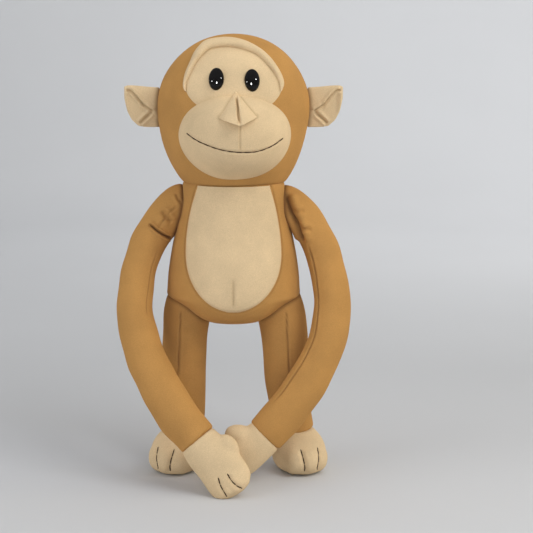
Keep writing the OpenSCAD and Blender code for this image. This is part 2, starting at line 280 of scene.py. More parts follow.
class Surface:
    """Finds the nearest point of a mesh, to lay creases and threads on it."""

    def __init__(self, obj):
        self.tree = BVHTree.FromPolygons(
            [Vector(p) for p in points_of(obj)], [tuple(p.vertices) for p in obj.data.polygons]
        )

    def lay(self, points):
        """The points moved to the surface."""
        return np.array([np.array(self.tree.find_nearest(Vector(p))[0]) for p in points])

    def normals(self, points):
        return np.array([np.array(self.tree.find_nearest(Vector(p))[1]) for p in points])

    def front(self, x, z):
        """The surface's foremost point at x, z, and its normal."""
        place, normal, _, _ = self.tree.ray_cast(Vector((x, -400, z)), Vector((0, 1, 0)))
        if place is None:
            place, normal, _, _ = self.tree.find_nearest(Vector((x, -60, z)))
        return np.array(place), np.array(normal)


def distance_to(points, line):
    """How far each point is from a line of points, and where along it the nearest place is, from 0 to 1."""
    line = np.asarray(line, float)
    best = np.full(len(points), np.inf)
    along = np.zeros(len(points))
    for i in range(len(line) - 1):
        d = line[i + 1] - line[i]
        t = np.clip((points - line[i]) @ d / max(d @ d, 1e-9), 0, 1)
        away = np.linalg.norm(points - line[i] - t[:, None] * d, axis=1)
        near = away < best
        best[near] = away[near]
        along[near] = ((i + t) / (len(line) - 1))[near]
    return best, along


def mark(obj, name, values):
    """Raises a value kept at each vertex, which the materials read."""
    attribute = obj.data.attributes.get(name) or obj.data.attributes.new(name, "FLOAT", "POINT")
    kept = np.zeros(len(obj.data.vertices), np.float32)
    attribute.data.foreach_get("value", kept)
    attribute.data.foreach_set("value", np.maximum(kept, values).astype(np.float32))


def crease(obj, line, depth, width, lip=0.4, fade=0.25, dark=0.5):
    """Presses a groove into a mesh along a line, with a soft lip on each side, and paints shade down it. It
    fades out at both ends.

    Returns the groove's bottom and the surface's normals along it, for a thread that lies in it.
    """
    surface = Surface(obj)
    line = surface.lay(smooth_path(line, LINE_POINTS))
    for _ in range(LINE_ROUNDS):
        line[1:-1] = 0.25 * line[:-2] + 0.5 * line[1:-1] + 0.25 * line[2:]
    points = points_of(obj)
    away, along = distance_to(points, line)
    lips = np.exp(-(((away - 2.2 * width) / (1.3 * width)) ** 2))
    dent = -depth * np.exp(-((away / width) ** 2)) + lip * depth * lips
    ends = fading(along, fade)
    normals = surface.normals(line)
    for _ in range(NORMAL_ROUNDS):
        normals[1:-1] = unit(0.25 * normals[:-2] + 0.5 * normals[1:-1] + 0.25 * normals[2:])
    bottom = line - normals * (depth * fading(np.linspace(0, 1, LINE_POINTS), fade))[:, None]
    set_points(obj, points + normals_of(obj) * (dent * ends)[:, None])
    # Painted shade down the groove, as dark as dark gives, kept in the "seam" value
    mark(obj, "seam", dark * ends * np.exp(-((away / (0.8 * width)) ** 2)))
    return bottom, normals


def shade_seam(obj, other, reach, dark):
    """Paints shade onto a cover where it meets another, like the shade deep in a tight seam."""
    surface = Surface(other)
    away = np.array([surface.tree.find_nearest(Vector(p))[3] for p in points_of(obj)])
    # Painted shade, strongest where the covers touch
    mark(obj, "seam", dark * np.exp(-((away / reach) ** 2)))


def fading(along, fade):
    """From 0 at both ends of a line up to 1, which it reaches at the share fade of its length."""
    return step(along, 0, fade) * step(1 - along, 0, fade) if fade > 0 else np.ones(len(along))


def uneven(obj, size, length, seed):
    """The slight unevenness of hand-packed filling."""
    points = points_of(obj)
    set_points(obj, points + normals_of(obj) * (size * waves(points, length, seed))[:, None])


# ---- cloth ----

CLOTH_FRAMES = 20
# Covers that wait for the simulation: (object, how firmly each point is held, pressure, furthest move)
sewn = []


def puff(obj, pinned, pressure, most):
    """Lines a cover up for the cloth simulation. pinned marks the points that a seam holds."""
    sewn.append((obj, np.asarray(pinned, float), pressure, most))


def simulate():
    """Runs the cloth simulation on every cover at once, with a light pressure inside.

    The covers are modelled full already: it moves their points by about 0.01 mm on average. No point moves
    further than its cover's limit.
    """
    start = {}
    for obj, pinned, pressure, _ in sewn:
        start[obj.name] = points_of(obj)
        group = obj.vertex_groups.new(name="seam")
        for i, w in enumerate(pinned):
            if w > 0:
                group.add([i], float(w), "REPLACE")
        cloth = obj.modifiers.new("cloth", "CLOTH")
        s = cloth.settings
        s.quality = 5
        s.mass = 0.2
        s.tension_stiffness = s.compression_stiffness = 12
        s.shear_stiffness = 6
        s.bending_stiffness = 0.6
        s.use_pressure = True
        s.uniform_pressure_force = pressure
        s.vertex_group_mass = "seam"
        s.effector_weights.gravity = 0
        cloth.point_cache.frame_start = 1
        cloth.point_cache.frame_end = CLOTH_FRAMES
    for number in range(1, CLOTH_FRAMES + 1):
        bpy.context.scene.frame_set(number)
    for obj, _, _, most in sewn:
        apply_all(obj)
        obj.vertex_groups.clear()
        moved = points_of(obj) - start[obj.name]
        size = np.linalg.norm(moved, axis=1, keepdims=True)
        set_points(obj, start[obj.name] + moved * np.minimum(1, most / np.maximum(size, 1e-6)))
    bpy.context.scene.frame_set(1)


# ---- materials ----


class Shader:
    """A material's node tree, with short ways to add and join nodes."""

    def __init__(self, name):
        self.material = bpy.data.materials.new(name)
        self.material.use_nodes = True
        self.tree = self.material.node_tree
        self.base = self.tree.nodes["Principled BSDF"]
        self.place = self.add("ShaderNodeTexCoord").outputs["Object"]

    def add(self, kind, **settings):
        node = self.tree.nodes.new(kind)
        for key, value in settings.items():
            if key in node.inputs:
                node.inputs[key].default_value = value
            else:
                setattr(node, key, value)
        return node

    def link(self, a, b):
        self.tree.links.new(a, b)

    def noise(self, scale, detail=3.0, roughness=0.5, stretch=None):
        node = self.add("ShaderNodeTexNoise", Scale=scale, Detail=detail, Roughness=roughness)
        place = self.place
        if stretch is not None:
            mapping = self.add("ShaderNodeMapping", Scale=stretch)
            self.link(place, mapping.inputs["Vector"])
            place = mapping.outputs["Vector"]
        self.link(place, node.inputs["Vector"])
        return node.outputs["Fac"]

    def ramp(self, value, stops):
        node = self.add("ShaderNodeValToRGB")
        while len(node.color_ramp.elements) < len(stops):
            node.color_ramp.elements.new(0.5)
        for element, (place, colour) in zip(node.color_ramp.elements, stops):
            element.position = place
            element.color = (*colour, 1)
        self.link(value, node.inputs["Fac"])
        return node.outputs["Color"]

    def mix(self, share, a, b, blend="MIX"):
        node = self.add("ShaderNodeMix", data_type="RGBA", blend_type=blend)
        for socket, value in ((node.inputs[0], share), (node.inputs[6], a), (node.inputs[7], b)):
            if isinstance(value, (float, int, tuple)):
                socket.default_value = value
            else:
                self.link(value, socket)
        return node.outputs[2]

    def bump(self, height, strength, distance, below=None):
        node = self.add("ShaderNodeBump", Strength=strength, Distance=distance)
        self.link(height, node.inputs["Height"])
        if below is not None:
            self.link(below, node.inputs["Normal"])
        return node.outputs["Normal"]


def linear(r, g, b):
    """A colour given as it looks on screen, from 0 to 255, in the linear values that the shaders take."""
    shares = (r / 255, g / 255, b / 255)
    return tuple(c / 12.92 if c <= 0.04045 else ((c + 0.055) / 1.055) ** 2.4 for c in shares)


def scaled(colour, k):
    return tuple(min(1.0, c * k) for c in colour)


def velour(name, colour, seam_shade_colour):
    """Short dense pile with a sheen: fine grain, and slow blotches where the nap lies differently."""
    s = Shader(name)
    blotch = s.ramp(s.noise(38, 3), [(0.34, scaled(colour, 0.93)), (0.66, scaled(colour, 1.06))])
    grain = s.ramp(s.noise(1500, 2, 0.7), [(0.25, (0.86, 0.86, 0.86)), (0.75, (1.12, 1.12, 1.12))])
    tone = s.mix(1.0, blotch, grain, "MULTIPLY")
    # The "seam" value at each vertex is painted shade in creases, folds and where covers meet: it mixes the
    # tone towards the dark seam colour
    seam = s.add("ShaderNodeAttribute", attribute_name="seam").outputs["Fac"]
    s.link(s.mix(seam, tone, (*seam_shade_colour, 1)), s.base.inputs["Base Color"])
    s.base.inputs["Roughness"].default_value = 0.92
    s.base.inputs["Specular IOR Level"].default_value = 0.2
    s.base.inputs["Sheen Weight"].default_value = 0.22
    s.base.inputs["Sheen Roughness"].default_value = 0.55
    s.base.inputs["Sheen Tint"].default_value = (*scaled(colour, 1.4), 1)
    nap = s.bump(s.noise(260, 3, 0.6, (1, 1, 0.45)), 0.22, 0.0006)
    s.link(s.bump(s.noise(1500, 2, 0.7), 0.35, 0.0003, nap), s.base.inputs["Normal"])
    return s.material


def thread_material(name, colour):
    s = Shader(name)
    strand = s.noise(1800, 2, 0.6, (1, 1, 0.3))
    tone = s.ramp(strand, [(0.3, scaled(colour, 0.6)), (0.7, scaled(colour, 1.4))])
    s.link(tone, s.base.inputs["Base Color"])
    s.base.inputs["Roughness"].default_value = 0.8
    s.base.inputs["Specular IOR Level"].default_value = 0.1
    s.link(s.bump(strand, 0.5, 0.0003), s.base.inputs["Normal"])
    return s.material


def eye_material(name):
    """Polished black plastic with a clear coat, faintly rippled by the moulding."""
    s = Shader(name)
    tone = s.ramp(s.noise(60, 2), [(0.3, (0.0035, 0.003, 0.003)), (0.7, (0.007, 0.006, 0.006))])
    s.link(tone, s.base.inputs["Base Color"])
    s.base.inputs["Roughness"].default_value = 0.06
    s.base.inputs["Specular IOR Level"].default_value = 0.16
    s.base.inputs["Coat Weight"].default_value = 0.12
    s.base.inputs["Coat Roughness"].default_value = 0.02
    s.link(s.bump(s.noise(90, 2), 0.03, 0.0004), s.base.inputs["Normal"])
    return s.material


def washer_material(name):
    """Dull pale plastic."""
    s = Shader(name)
    grain = s.noise(700, 3)
    tone = s.ramp(grain, [(0.3, (0.55, 0.55, 0.52)), (0.7, (0.68, 0.68, 0.65))])
    s.link(tone, s.base.inputs["Base Color"])
    s.base.inputs["Roughness"].default_value = 0.45
    s.link(s.bump(grain, 0.15, 0.0002), s.base.inputs["Normal"])
    return s.material


TAN = linear(183, 135, 73)
BEIGE = linear(216, 190, 150)
TAN_VELOUR = velour("tan_velour", TAN, linear(84, 46, 16))
BEIGE_VELOUR = velour("beige_velour", BEIGE, linear(142, 112, 72))
THREAD = thread_material("brown_thread", linear(56, 31, 16))
EYE_BLACK = eye_material("eye_black")
WASHER = washer_material("washer_plastic")


def dress(obj, material, slot, body, *nodes):
    """Gives a finished piece its material and its body, and hides the CAD nodes it stands for; slot is not
    used.
    """
    obj.data.materials.clear()
    obj.data.materials.append(material)
    if body is not None:
        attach(obj, body)
    if nodes:
        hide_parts(*nodes)
    return obj


# ---- camera ----

CAMERA_DISTANCE = 1300
CAMERA_TILT = math.radians(10)
MM_PER_DOT = 0.9
PICTURE = 533
AIM_Z = NECK_Z - 77.25
# The toy stands this far left of the picture's middle
ASIDE = 29.7


def make_camera():
    data = bpy.data.cameras.new("camera")
    data.sensor_width = 36
    data.lens = CAMERA_DISTANCE / MM_PER_DOT / PICTURE * data.sensor_width
    data.shift_x = ASIDE / MM_PER_DOT / PICTURE
    data.clip_start, data.clip_end = 0.05, 50
    camera = bpy.data.objects.new("camera", data)
    aim = np.array([0, 0, AIM_Z])
    back = np.array([0, -math.cos(CAMERA_TILT), math.sin(CAMERA_TILT)])
    camera.location = Vector(to_metres(aim + back * CAMERA_DISTANCE))
    camera.rotation_mode = "QUATERNION"
    camera.rotation_quaternion = Vector(-back).to_track_quat("-Z", "Y")
    bpy.context.scene.collection.objects.link(camera)
    bpy.context.scene.camera = camera


make_camera()


# ---- torso ----

TORSO_TOP = node_box("torso_cover")[1][2]
# Stations [x, y, z, half width, half depth] from the bottom to the rim inside the head
TORSO_KEYS = [
    [0, 0, 137.5, 16, 18], [0, 0, 140.5, 31, 32], [0, 0, 146, 45, 42], [0, 0, 153, 56, 47],
    [0, 0, 160, 60.2, 49.6], [0, 0, 168, 60, 50.3], [0, 0, 184, 58.6, 50], [0, 0, 205, 55, 47.5],
    [0, 0, 230, 49.5, 43], [0, 0, 250, 46, 41], [0, 0, 259, 45.5, 41], [0, 0, NECK_Z, 44.7, 40.3],
    [0, 0, NECK_Z + 5, 40, 36],
]
# How far the lower edge rises at the sides, over the tops of the legs
HIP_RISE = 7
torso_table = smooth_path(TORSO_KEYS, 120)


def torso_half(z):
    """The torso's half width and half depth at a height."""
    order = torso_table[:, 2]
    return np.interp(z, order, torso_table[:, 3]), np.interp(z, order, torso_table[:, 4])


def torso_front(x, z):
    """Where the torso's front is, along Y."""
    rx, ry = torso_half(z)
    q = np.clip(np.abs(x) / rx, 0, 1)
    return -ry * np.sqrt(1 - q * q)


TUMMY_WIDE_Z = 203
TUMMY_BOTTOM = 152.8
TUMMY_RX = 43.4


def tummy_half_width(z):
    """Half the width of the tummy panel at a height."""
    z = np.asarray(z, float)
    below = np.clip((TUMMY_WIDE_Z - z) / (TUMMY_WIDE_Z - TUMMY_BOTTOM), 0, 1)
    above = np.clip((z - TUMMY_WIDE_Z) / (NECK_Z - TUMMY_WIDE_Z), 0, 1)
    return TUMMY_RX * np.where(z < TUMMY_WIDE_Z, np.sqrt(1 - below**2.1), 1 - 0.25 * above**1.9)


def tummy_outline():
    """The panel's edge, from one top corner down round the bottom to the other."""
    z = TUMMY_BOTTOM + (TORSO_TOP - TUMMY_BOTTOM) * (1 - np.cos(np.linspace(0, math.pi / 2, 30)))
    right = [[w, torso_front(w, h), h] for w, h in zip(tummy_half_width(z), z)]
    left = [[-x, y, h] for x, y, h in right]
    return np.array(left[::-1] + right[1:])


def make_torso():
    rings = level_rings(smooth_path(TORSO_KEYS, 36), 84)
    skin = loft("torso_skin", rings)
    points = points_of(skin)
    points[:, 2] += HIP_RISE * step(np.abs(points[:, 0]), 20, 46) * step(166 - points[:, 2], 0, 16)
    set_points(skin, points)
    away, _ = distance_to(points, tummy_outline())
    pinned = np.maximum(np.exp(-((away / 4) ** 2)), np.maximum(points[:, 2] > NECK_Z - 3, points[:, 2] < 140))
    puff(skin, pinned, 3.5, 1.8)
    return skin


def make_tummy():
    """The tummy panel, padded in the middle and tucked into its seam all round."""
    rows, columns = 46, 33
    grid = []
    for t in np.linspace(0, 1, rows):
        z = TUMMY_BOTTOM + 0.4 + (TORSO_TOP - TUMMY_BOTTOM - 0.4) * (1 - math.cos(t * math.pi / 2))
        w = float(tummy_half_width(z)) - 0.3
        for s in np.linspace(-1, 1, columns):
            x = w * math.sin(s * math.pi / 2)
            grid.append([x, torso_front(x, z), z])
    grid = np.array(grid)
    away, _ = distance_to(grid, tummy_outline())
    lift = -1.0 + 2.2 * step(away, 0, 4.5)
    out = unit(np.stack([grid[:, 0] * 0.8, grid[:, 1], np.zeros(len(grid))], axis=1))
    panel = new_object("tummy_panel_cloth", grid + out * lift[:, None], grid_faces(rows, columns))
    return facing_front(panel)


# ---- limbs ----

# Stations [x, y, z, half width, half depth] from the shoulder seam to the wrist seam
ARM_LEFT = [
    [-40, 0, 245.5, 17, 12.5], [-46, 0, 243.6, 18.2, 14], [-53, 0, 239.2, 18.3, 15],
    [-61.5, 0, 231, 17.6, 15.2], [-70, -1.5, 219.6, 16.5, 15.2], [-78.8, -8.5, 203.5, 15.8, 15],
    [-85, -17, 181, 15.4, 15], [-87.4, -27, 155, 15.9, 15], [-81.5, -40, 126, 17.2, 15],
    [-68, -53, 97, 18.2, 15], [-49.5, -64.5, 67, 18.6, 14.5], [-30.5, -73.5, 46, 18, 13],
]
ARM_RIGHT = [
    [40, 0, 247, 14, 12], [46, 0, 245.5, 15.3, 13.5], [53.5, -1, 241, 16, 14.5],
    [63, -1.5, 231.5, 16, 15], [71.2, -3.5, 218.5, 15.9, 15], [79.5, -9.5, 201, 15.9, 15],
    [85.3, -17, 178, 16.3, 15], [87.4, -25, 154, 16.6, 15], [82.5, -33.5, 125, 17, 14.5],
    [69, -40.5, 97, 17.8, 14], [48.5, -46.8, 67, 18.2, 13], [27, -49.8, 43.5, 17.6, 11.5],
]
# The same from the hip seam to the ankle seam. The upper rings tilt with the path, so that a leg meets the
# torso along a slanting seam
LEG_LEFT = [
    [-35, -1, 163, 18.5, 18], [-38.6, -1, 157, 21, 20.5], [-41, -1, 148, 21.2, 21.5],
    [-42.8, -1, 138, 21, 21.5], [-44.5, -1, 122, 20.4, 21], [-44.8, 0, 100, 20, 20],
    [-44.6, 0, 75, 19.3, 18.8], [-44.8, 0, 52, 18.5, 18], [-46, 0, 34.5, 17.8, 17.8],
]
LEG_RIGHT = [
    [35, -1, 163, 18.5, 18], [39, -1, 157, 21.4, 20.5], [42, -1, 148, 21.8, 21.5],
    [44.5, -1, 137, 21.8, 21.5], [46.4, -1, 122, 21.1, 21], [47.3, 0, 100, 20.3, 20],
    [49.6, 0, 75, 19.4, 18.8], [52.8, 0, 52, 18.5, 18], [56, 0, 34.5, 17.8, 17.8],
]


def make_limb(name, stations, rows, sides, held):
    """A limb's cover. Its first held rows and its last three are sewn fast."""
    skin = loft(name, path_rings(smooth_path(stations, rows), sides))
    pinned = np.zeros(len(skin.data.vertices))
    pinned[: held * sides] = 1
    pinned[(rows - 3) * sides :] = 1
    puff(skin, pinned, 3.5, 1.0)
    return skin


def make_arm(side, stations):
    return make_limb(f"arm_{side}_skin", stations, 64, 26, 2)


def make_leg(side, stations):
    return make_limb(f"leg_{side}_skin", stations, 34, 28, 3)


# ---- hands and feet ----


def ball(middle, radii, turn=0.0):
    """A squashed ball, turned about Y by turn degrees, as a part to be merged by a remesh."""
    stations = [[0, 0, math.sin(a), math.cos(a), math.cos(a)] for a in np.linspace(-1.5, 1.5, 14)]
    rings = np.array(level_rings(stations, 20)) * radii
    c, s = math.cos(math.radians(turn)), math.sin(math.radians(turn))
    turned = rings @ np.array([[c, 0, -s], [0, 1, 0], [s, 0, c]])
    return loft("ball", turned + middle)


# Stations [x, y, z, half width, half depth] from the wrist seam to the fingertips
HAND_LEFT = [
    [-31.5, -72.8, 47, 17.3, 12.6], [-23, -75.8, 37, 19.6, 13], [-13, -79.5, 26.5, 20.4, 12.6],
    [-5.2, -83.8, 16.5, 20.6, 11.4], [-0.8, -87.8, 9.6, 19, 9], [2, -90.6, 5.8, 14.5, 6.4],
    [3, -91.6, 4.2, 7, 3.4],
]
HAND_RIGHT = [
    [28, -49.7, 44, 17, 11.2], [17, -52.6, 34, 17.4, 12], [6, -54.2, 25.5, 18.2, 11.5],
    [-3, -55, 19, 15.5, 10], [-8, -55, 15.5, 10.5, 7.6], [-10, -55, 14, 4.5, 3.8],
]
# The middle of each thumb, its radii, and its turn about Y in degrees
THUMB_LEFT = ((-4, -78.5, 42.5), (8.3, 7.5, 12.5), -30)
THUMB_RIGHT = ((6, -52.5, 44.5), (14.5, 9, 10), 14)


# The lowest point of a hand or foot, and the voxel size that melts its parts together
LOWEST = 0.3
VOXEL = 1.5


def make_hand(side, stations, thumb):
    """A mitten: a palm with a thumb melted into it."""
    palm = loft("palm", path_rings(smooth_path(stations, 26), 28))
    hand = join(f"hand_{side}_skin", [palm, ball(*thumb)])
    remesh(hand, VOXEL)
    relax(hand, 12)
    points = points_of(hand)
    points[:, 2] = np.maximum(points[:, 2], LOWEST)
    set_points(hand, points)
    return hand


# Rings of a foot whose ankle is at the origin: [x, y, z, half width, half length]
FOOT_RINGS = [
    [0, 0, 37, 17.2, 17.4], [0, -1.5, 33.8, 19.4, 20], [0, -4.6, 29.8, 22.2, 24], [0, -8, 23.5, 24, 28],
    [0, -9.6, 15.5, 24.2, 29.6], [0, -10, 8.5, 22.8, 28.2], [0, -10.2, 4, 20.2, 25.6],
    [0, -10.4, 1.2, 16.4, 21.6], [0, -10.5, 0.4, 10, 14],
]
TOE_RADII = (9, 13, 13.8)
TOES = [(-12, -23.5, 14.5), (0, -28, 14.5), (12, -23.5, 14.5)]
# The stitched lines between the toes: how far each is from the foot's middle, and its way in y and z
TOE_GAP = 8
TOE_LINE = [[-31, 25], [-37, 19], [-40.5, 11], [-40, 4]]


def turned_foot(points, ankle_x, toes_out):
    """Points of a foot that stands at the origin, turned about the ankle so that its toes point outwards."""
    c, s = math.cos(math.radians(toes_out)), math.sin(math.radians(toes_out))
    p = np.asarray(points, float)
    return np.stack([ankle_x + p[:, 0] * c - p[:, 1] * s, p[:, 0] * s + p[:, 1] * c, p[:, 2]], axis=1)


def make_foot(side, ankle_x, toes_out):
    """A heel and instep with three toes melted into it."""
    heel = loft("heel", level_rings(smooth_path(FOOT_RINGS, 28), 32))
    foot = join(f"foot_{side}_skin", [heel, *[ball(toe, TOE_RADII) for toe in TOES]])
    remesh(foot, VOXEL)
    relax(foot, 14)
    points = turned_foot(points_of(foot), ankle_x, toes_out)
    points[:, 2] = np.maximum(points[:, 2], LOWEST)
    set_points(foot, points)
    return foot


# ---- head ----


def head_share(z):
    """How wide the head is at a height, as a share of its widest."""
    t = np.where(z > HEAD_Z, (z - HEAD_Z) / CROWN, (HEAD_Z - z) / HEAD_DROP)
    return np.sqrt(np.clip(1 - t * t, 0, 1))


def head_front(x, z, out=0.0):
    """Where the head's front is along Y, with its surface moved outwards by out."""
    k = head_share(np.asarray(z, float))
    q = np.clip(np.abs(x) / np.maximum(k * HEAD_RX + out, 0.01), 0, 1)
    return -(k * HEAD_RY + out) * np.sqrt(1 - q * q)


def make_head():
    low = np.linspace(NECK_Z + 0.6, HEAD_Z, 20, endpoint=False)
    high = HEAD_Z + CROWN * np.sin(np.linspace(0, 0.985 * math.pi / 2, 22))
    stations = [[0, 0, z, HEAD_RX * head_share(z), HEAD_RY * head_share(z)] for z in [*low, *high]]
    rim = HEAD_RX * float(head_share(NECK_Z))
    turn_in = [[0, 0, NECK_Z + 2, rim - 6, rim - 10.5], [0, 0, NECK_Z - 0.6, rim - 2.2, rim - 6.8]]
    stations = [*turn_in, *stations]
    skin = loft("head_skin", level_rings(stations, 88))
    points = points_of(skin)
    puff(skin, points[:, 2] < NECK_Z + 2, 3.0, 1.0)
    return skin


# The middle of the face panel, as x, z
FACE_MID = np.array([0.2, 352.0])
FACE_RX, FACE_UP, FACE_DOWN = 41.5, 33.5, 26


def face_edge(a):
    return np.stack([FACE_RX * np.cos(a), np.where(np.sin(a) > 0, FACE_UP, FACE_DOWN) * np.sin(a)], axis=-1)


def disc(name, middle, edge, height, rows=20, sides=72):
    """A round patch of cloth: edge(a) is its outline round the middle, height(x, z, s) its place along Y."""
    a = np.linspace(0, 2 * math.pi, sides, endpoint=False)
    rings = []
    for s in np.sin(np.linspace(0.03, 1, rows) * math.pi / 2):
        flat = middle + s * edge(a)
        rings.append(np.stack([flat[:, 0], height(flat[:, 0], flat[:, 1], s), flat[:, 1]], axis=1))
    points = np.array(rings).reshape(-1, 3)
    faces = [tuple(range(sides))[::-1]]
    for i in range(rows - 1):
        for j in range(sides):
            p, q = i * sides + j, i * sides + (j + 1) % sides
            faces.append((p, q, q + sides, p + sides))
    return facing_front(new_object(name, points, faces))


def face_height(x, z, s):
    """Flat on the head, and tucked under at its edge."""
    return head_front(x, z, FACE_LIFT + 0.9 - 1.2 * s**8)


def make_face():
    return disc("face_panel_cloth", FACE_MID, face_edge, face_height)


MUZZLE_MID = np.array([1.4, 309.0])
MUZZLE_RX, MUZZLE_UP, MUZZLE_DOWN = 48.2, 34.5, 38.5
MUZZLE_OUT = 24


def muzzle_edge(a):
    c, s = np.cos(a), np.sin(a)
    wide = MUZZLE_RX * np.sign(c) * np.abs(c) ** 0.92
    return np.stack([wide, np.where(s > 0, MUZZLE_UP, MUZZLE_DOWN) * s], axis=-1)


def muzzle_height(x, z, s):
    """Full in the middle and lower part, and sinking to the face at its edge."""
    swell = MUZZLE_OUT * (1 - s**2.2) ** 0.62
    return head_front(x, z, FACE_LIFT) - swell + 1.2 * s**10


def make_muzzle():
    sides = 84
    skin = disc("muzzle_skin", MUZZLE_MID, muzzle_edge, muzzle_height, rows=22, sides=sides)
    pinned = np.zeros(len(skin.data.vertices))
    pinned[-2 * sides :] = 1
    puff(skin, pinned, 3.0, 1.5)
    return skin


# The brow's outer seam and its inner lip, as [x, z] from the -X end over the top to the +X end
BROW_OUTER = [
    [-40.5, 345.5], [-42.5, 349], [-41.9, 357], [-38.2, 368], [-32.6, 378.5], [-26.7, 385.4], [-20, 388.6],
    [-10, 390.2], [0.1, 389.6], [11.7, 386.6], [21.7, 381.5], [29.9, 374.8], [36.5, 367.2], [41.1, 359.2],
    [43, 352], [41.2, 345.5],
]
BROW_INNER = [
    [-39.9, 346], [-40.2, 351], [-37.4, 358.5], [-31.5, 369], [-26.4, 376.2], [-21.5, 380.4], [-13.1, 382.4],
    [-1.5, 382.6], [10, 380.3], [19.9, 375.8], [28, 368.5], [34.2, 360.6], [37.8, 353], [39, 346],
]
# Across the roll: share of the way from the seam to the lip, and height above the face in millimetres
BROW_PROFILE = [
    [0, -1], [0.02, 0.9], [0.12, 2.3], [0.32, 3.7], [0.55, 4.8], [0.76, 5.3], [0.9, 4.9], [0.99, 3.7],
    [1.03, 2.2], [1.03, 0.8], [1.0, -1],
]


def on_head(x, z, out):
    """A point over the head's surface at x, z."""
    k = float(head_share(z))
    y = float(head_front(x, z))
    steep = (z - HEAD_Z) / CROWN**2 if z > HEAD_Z else (z - HEAD_Z) / HEAD_DROP**2
    normal = unit([x / HEAD_RX**2, y / HEAD_RY**2, steep])
    return np.array([x, y if k > 0 else 0.0, z]) + normal * out


def brow_section(outer, inner, tall):
    """One cross-section of the roll, from the seam over its top to the inner lip."""
    section = []
    for share, height in BROW_PROFILE:
        x, z = outer * (1 - share) + inner * share
        section.append(on_head(x, z, height * tall if height > 0 else height))
    return section


def make_brow():
    """The folded-over edge of the face panel: a hood that stands out over the eyes and thins to its ends."""
    count = 90
    outer = smooth_path([[x, z, 0] for x, z in BROW_OUTER], count)
    inner = smooth_path([[x, z, 0] for x, z in BROW_INNER], count)
    rows = []
    for p, q, share in zip(outer, inner, np.linspace(0, 1, count)):
        tall = 0.3 + 0.7 * math.sin(math.pi * share) ** 0.6
        rows.append(brow_section(p[:2], q[:2], tall))
    return loft("brow_roll_cloth", rows)


def build_covers():
    return {
        "torso": make_torso(),
        "arm_left": make_arm("left", ARM_LEFT),
        "arm_right": make_arm("right", ARM_RIGHT),
        "leg_left": make_leg("left", LEG_LEFT),
        "leg_right": make_leg("right", LEG_RIGHT),
        "head": make_head(),
        "muzzle": make_muzzle(),
    }


cloth = build_covers()
simulate()
for cover in cloth.values():
    subdivide(cover, 2)

torso, head, muzzle = cloth["torso"], cloth["head"], cloth["muzzle"]

# ---- torso details ----

# The tuck beside a shoulder, on the +X side
SHOULDER_TUCK = np.array([[46, -3, 262], [47, -9, 248], [49.5, -8, 232], [53, -3, 224]])

crease(torso, tummy_outline(), 0.6, 0.9, lip=0.25, fade=0, dark=0.45)
for sign in (-1, 1):
    crease(torso, SHOULDER_TUCK * [sign, 1, 1], 1.4, 2.0)
uneven(torso, 0.35, 55, 3)
for limb in ("arm_left", "arm_right", "leg_left", "leg_right"):
    shade_seam(torso, cloth[limb], 1.6, 0.6)
tummy = make_tummy()
subdivide(tummy, 1)
crease(tummy, [[-0.5, -50, 186], [-0.3, -51, 172], [0, -50, 158]], 1.1, 1.1, lip=0.6, fade=0.18, dark=0.35)
uneven(tummy, 0.3, 55, 3)
dress(torso, TAN_VELOUR, "tan_cloth", None, "torso_cover", "torso_filling")
dress(tummy, BEIGE_VELOUR, "beige_cloth", None, "tummy_panel", "tummy_dart")
for piece in (torso, tummy):
    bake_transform(piece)

# ---- arms and legs ----

# Folds and seams of each arm: (line, depth, width, how dark the painted shade in it is)
ARM_FOLDS = {
    "left": [
        ([[-76.6, -16, 229.2], [-72, -17, 225.8], [-67.8, -18, 222.5], [-63.5, -17, 219.4],
          [-59.7, -15, 216.5], [-54, -5, 212]], 3.0, 1.1, 0.85),
        ([[-51.5, -12, 256], [-50.9, -13, 254.5], [-48.7, -15, 250], [-45.5, -15, 246]], 1.4, 1.0, 0.55),
        ([[-49.5, -16, 244], [-58.2, -18, 236], [-66.3, -18, 224], [-67.5, -18, 222.5]], 0.8, 0.9, 0.22),
        ([[-64.5, -17, 241], [-63.4, -17, 239.6], [-58.2, -18, 233], [-54, -17, 227.5]], 1.8, 2.0, 0.22),
        ([[-58, -26, 205], [-66, -31, 188], [-71.5, -38, 168], [-72.5, -45, 150]], 0.6, 0.7, 0.4),
    ],
    "right": [
        ([[46, -13, 257], [46.8, -15, 249], [49.5, -16, 241], [53, -17, 233], [56, -17, 225], [58, -16, 217],
          [60, -14, 209]], 4.2, 2.8, 0.75),
        ([[51, -17, 241], [57, -17, 239], [63, -16, 240]], 1.1, 1.6, 0.15),
        ([[56, -17, 228], [62, -18, 224], [69, -18, 223]], 1.2, 1.7, 0.15),
        ([[61, -18, 216], [67, -25, 197], [72, -30, 173], [72, -38, 151], [67, -46, 131], [57.5, -50, 109],
          [44, -53, 87], [31.5, -55, 71]], 0.9, 0.8, 0.65),
    ],
}
# The seam down the front of a leg, on the +X side
LEG_SEAM = np.array([[47, -22, 152], [48, -22, 130], [49.5, -21, 105], [51, -19, 80]])


def finish_arm(side):
    arm = cloth[f"arm_{side}"]
    uneven(arm, 0.5, 42, 11)
    for line, depth, width, dark in ARM_FOLDS[side]:
        crease(arm, line, depth, width, lip=0.6, fade=0.12, dark=dark)
    shade_seam(arm, torso, 2.6, 0.8)
    dress(arm, TAN_VELOUR, "tan_cloth", None, f"arm_{side}_cover", f"arm_{side}_filling")
    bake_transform(arm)


def finish_leg(side, sign):
    leg = cloth[f"leg_{side}"]
    uneven(leg, 0.4, 38, 17)
    crease(leg, LEG_SEAM * [sign, 1, 1], 0.7, 0.8, lip=0.4, fade=0.08, dark=0.55)
    shade_seam(leg, torso, 2.0, 0.55)
    dress(leg, TAN_VELOUR, "tan_cloth", None, f"leg_{side}_cover", f"leg_{side}_filling")
    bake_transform(leg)


for side, sign in (("left", -1), ("right", 1)):
    finish_arm(side)
    finish_leg(side, sign)


# ---- threads ----

STITCH = 7
THREAD_RADIUS = 0.5
THREAD_SIDES = 8


